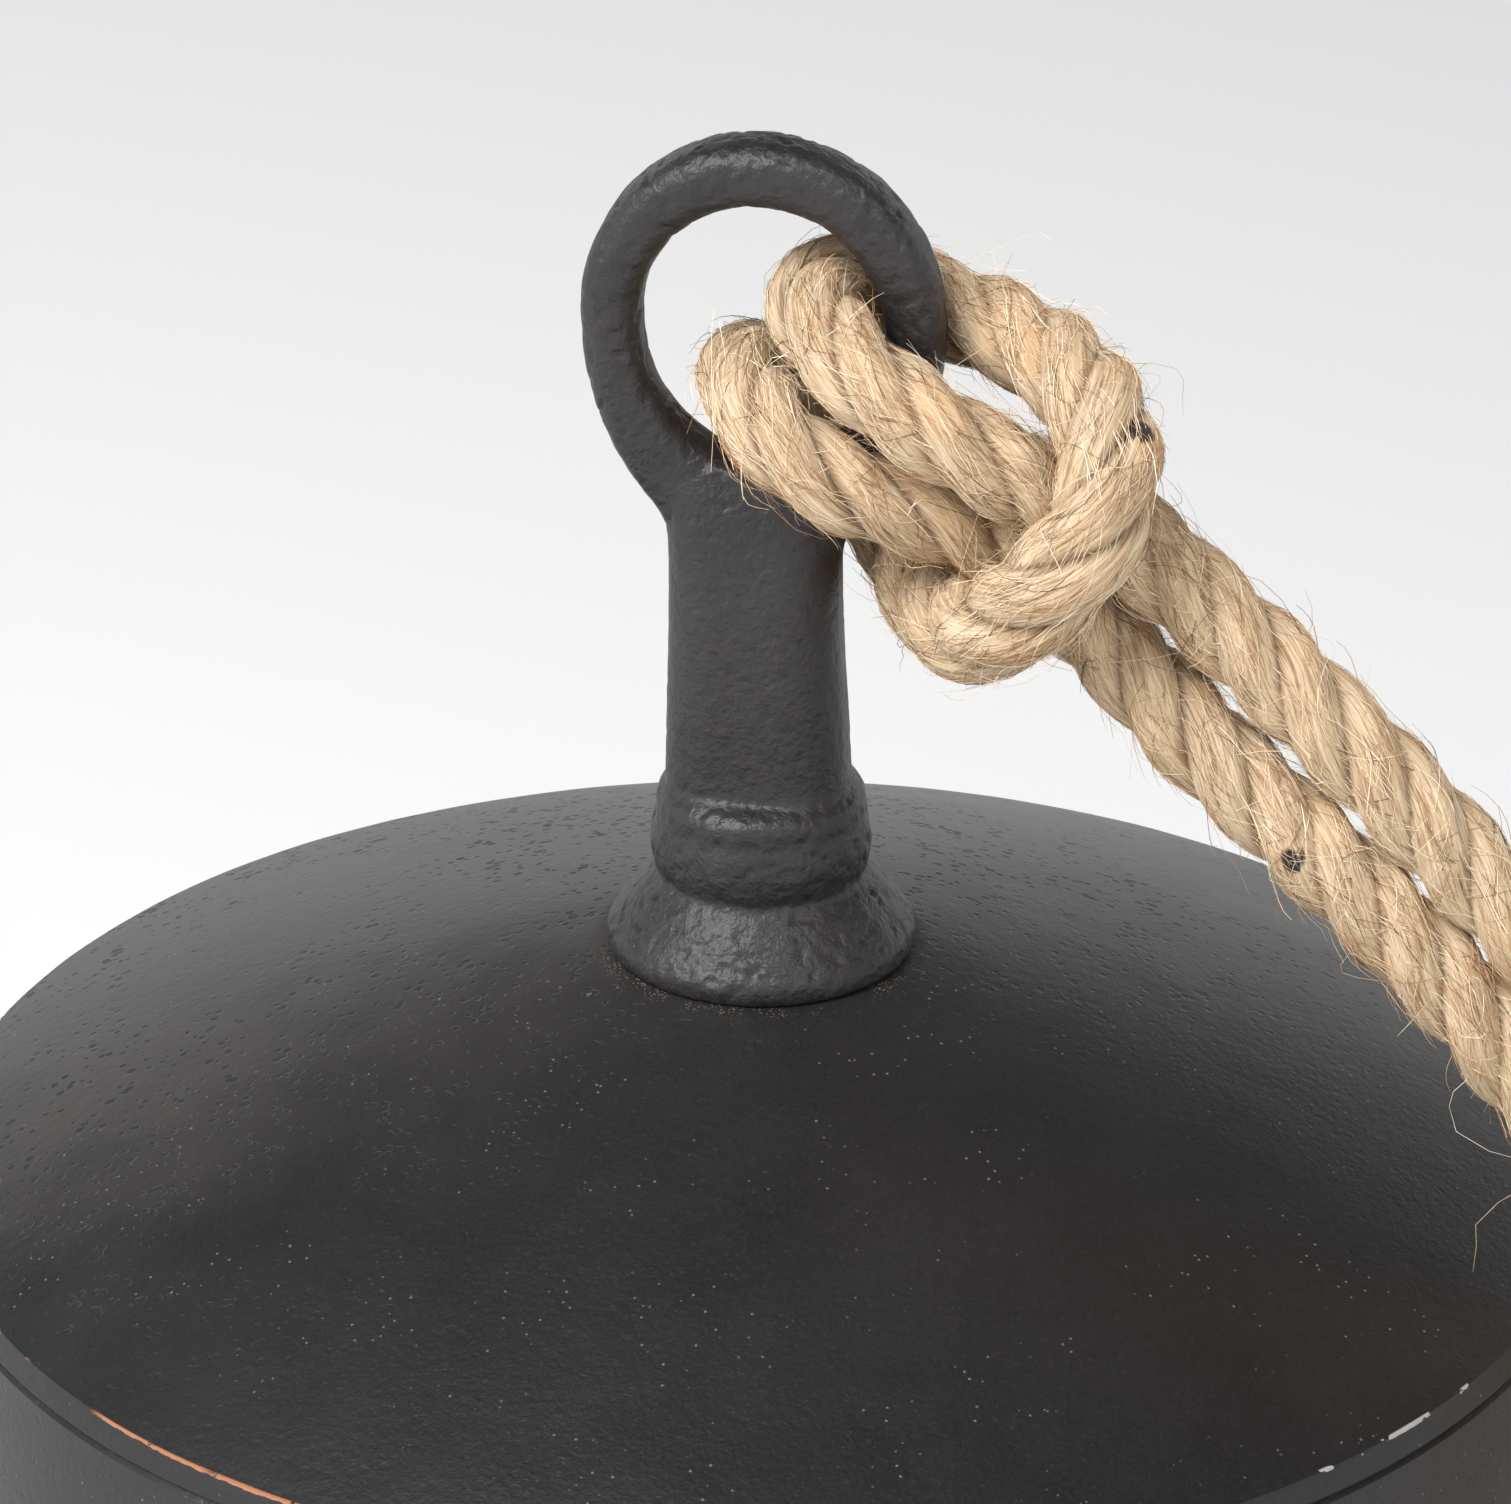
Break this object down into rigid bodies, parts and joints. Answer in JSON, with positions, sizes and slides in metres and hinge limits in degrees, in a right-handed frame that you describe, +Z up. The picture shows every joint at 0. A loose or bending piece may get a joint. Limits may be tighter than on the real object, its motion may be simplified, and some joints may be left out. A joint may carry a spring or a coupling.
{
  "type": "hanging bell",
  "caption": "Cast iron bell with a shallow crown, a tall ring eye, an inner ball clapper on a link, and a doubled jute rope hitched to the eye to hang it by.",
  "frame": {"origin": "centre of the mouth, on the face the bell stands on", "axes": "+Z up along the bell's axis to the eye; the eye's ring lies in XZ with its hole along Y; +X is the limb that the rope is hitched to; -Y is the front"},
  "size_m": [0.3045, 0.3039, 0.3326],
  "materials": {
    "bell_iron": "matt black paint over cast iron, pitted, rubbed through at the shoulder edge",
    "eye_iron": "satin black paint over a lumpy casting",
    "plated_steel": "dull zinc plate",
    "clapper_iron": "matt black cast and forged iron, bare on the striking band",
    "jute": "three-strand laid jute with loose fibres"
  },
  "bodies": {
    "bell": {"bell_body": "bell_iron", "crown_eye": "eye_iron", "crown_stud": "plated_steel", "crown_washer": "plated_steel", "lock_washer": "plated_steel", "crown_nut": "plated_steel", "clapper_eye_nut": "plated_steel", "rope_hitch": "jute", "rope_leg_a": "jute", "rope_leg_b": "jute", "rope_knot": "jute", "rope_tail_a": "jute", "rope_tail_b": "jute"},
    "link": {"clapper_link": "plated_steel"},
    "clapper": {"clapper_rod": "clapper_iron", "ball_top_washer": "plated_steel", "ball_top_nut": "plated_steel", "clapper_ball": "clapper_iron", "ball_washer": "plated_steel", "cap_nut": "plated_steel"}
  },
  "joints": [
    {"name": "link_swing", "type": "hinge", "parent": "bell", "child": "link", "pos_m": [0, 0, 0.1785], "axis": [0, 1, 0], "range_deg": [-37, 37]},
    {"name": "clapper_sway", "type": "hinge", "parent": "link", "child": "clapper", "pos_m": [0, 0, 0.1538], "axis": [1, 0, 0], "range_deg": [-14, 14]}
  ]
}
